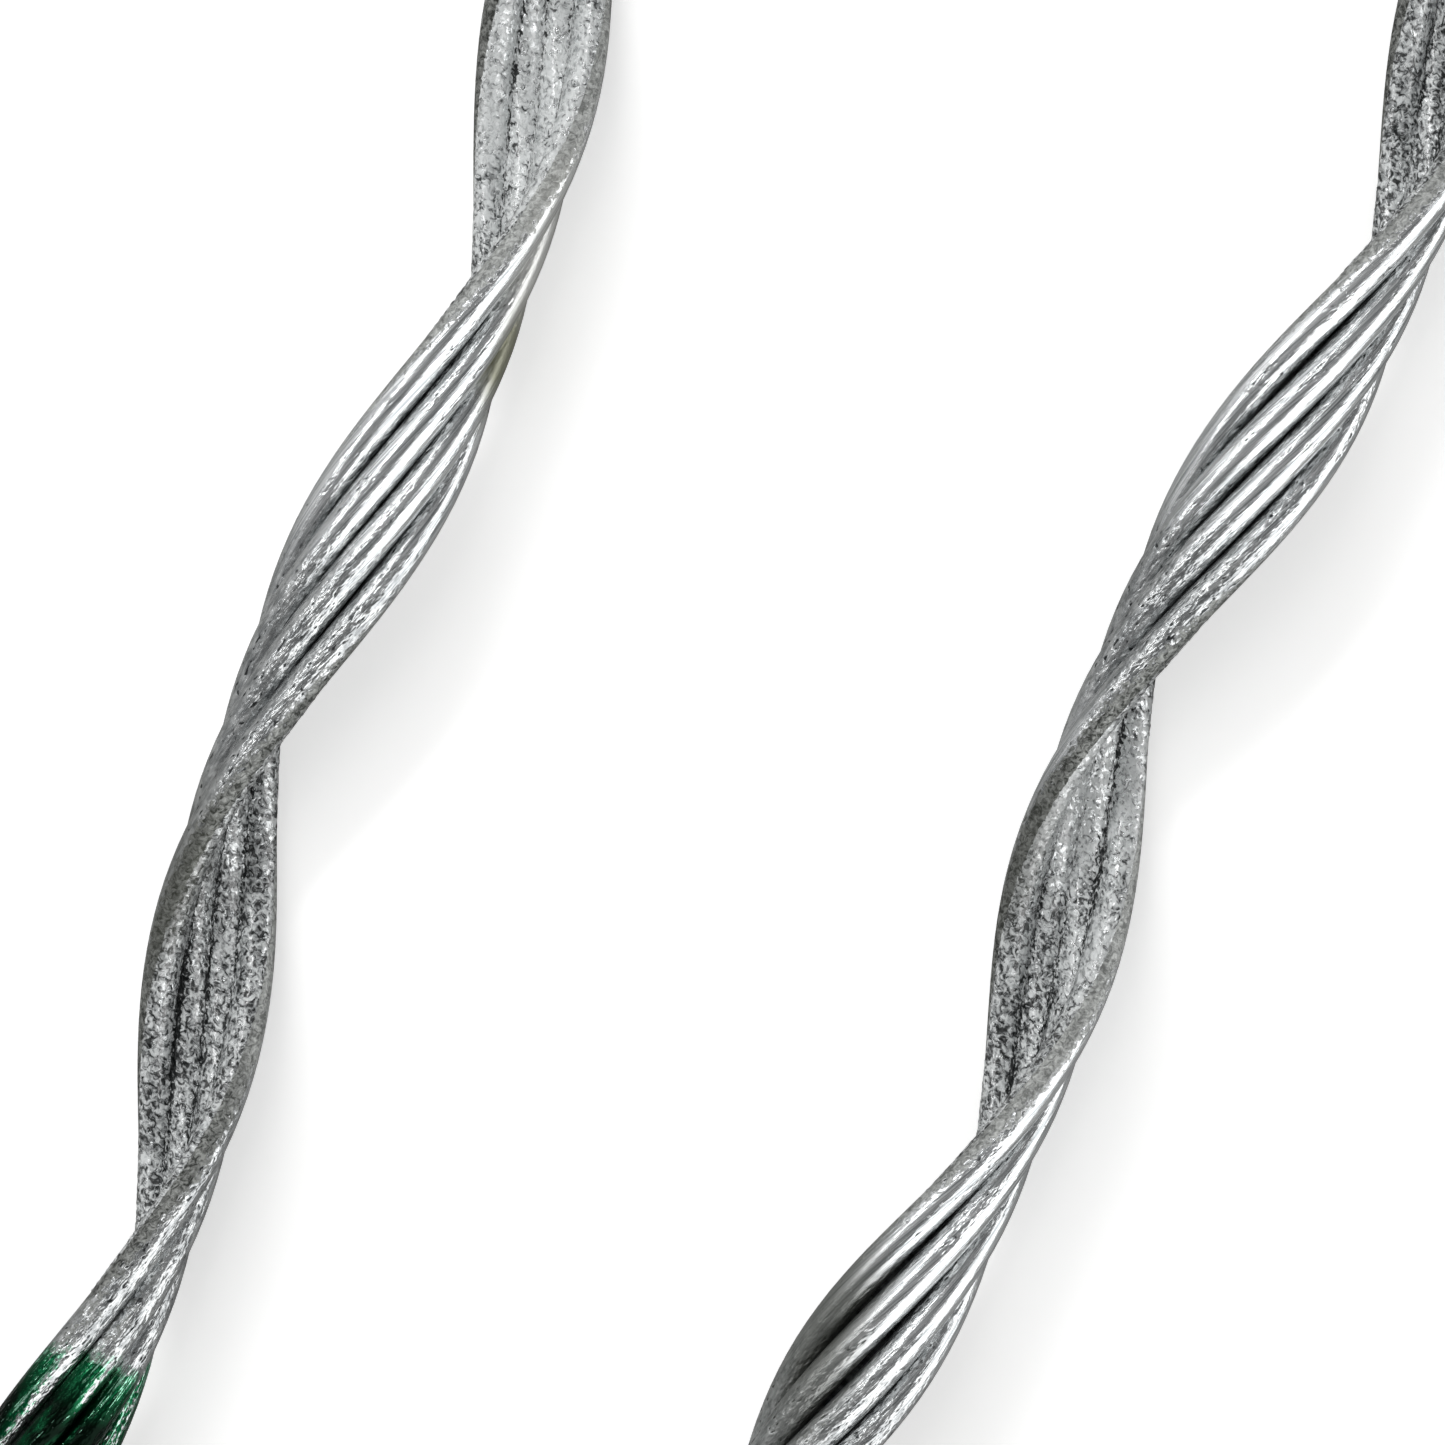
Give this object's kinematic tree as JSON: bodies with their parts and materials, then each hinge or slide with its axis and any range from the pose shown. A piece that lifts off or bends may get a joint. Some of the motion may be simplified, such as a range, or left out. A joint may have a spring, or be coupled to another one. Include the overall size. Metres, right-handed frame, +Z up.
{
  "type": "preformed dead end grip",
  "caption": "Helically formed steel wire dead end: two gritted open legs wrap round a guy strand, and a cabled loop seats on a thimble.",
  "frame": {"origin": "middle of the bounding box on the floor that the grip lies on", "axes": "+Y along the grip from the loop to the free ends of the legs, +Z up from the floor, +X from the left leg to the right leg"},
  "size_m": [0.1604, 0.9656, 0.0183],
  "materials": {
    "galvanised_wire": "hot-dip galvanised drawn steel wire, slightly cool grey, with drawing lines and green marking paint at the cross-over mark",
    "bonded_grit": "sharp grey abrasive grit in clear adhesive, with dark flecks and glints"
  },
  "bodies": {
    "root": {"wire_1": "galvanised_wire", "wire_2": "galvanised_wire", "wire_3": "galvanised_wire", "wire_4": "galvanised_wire", "grit_lining_left_leg": "bonded_grit", "grit_lining_right_leg": "bonded_grit"}
  },
  "joints": []
}
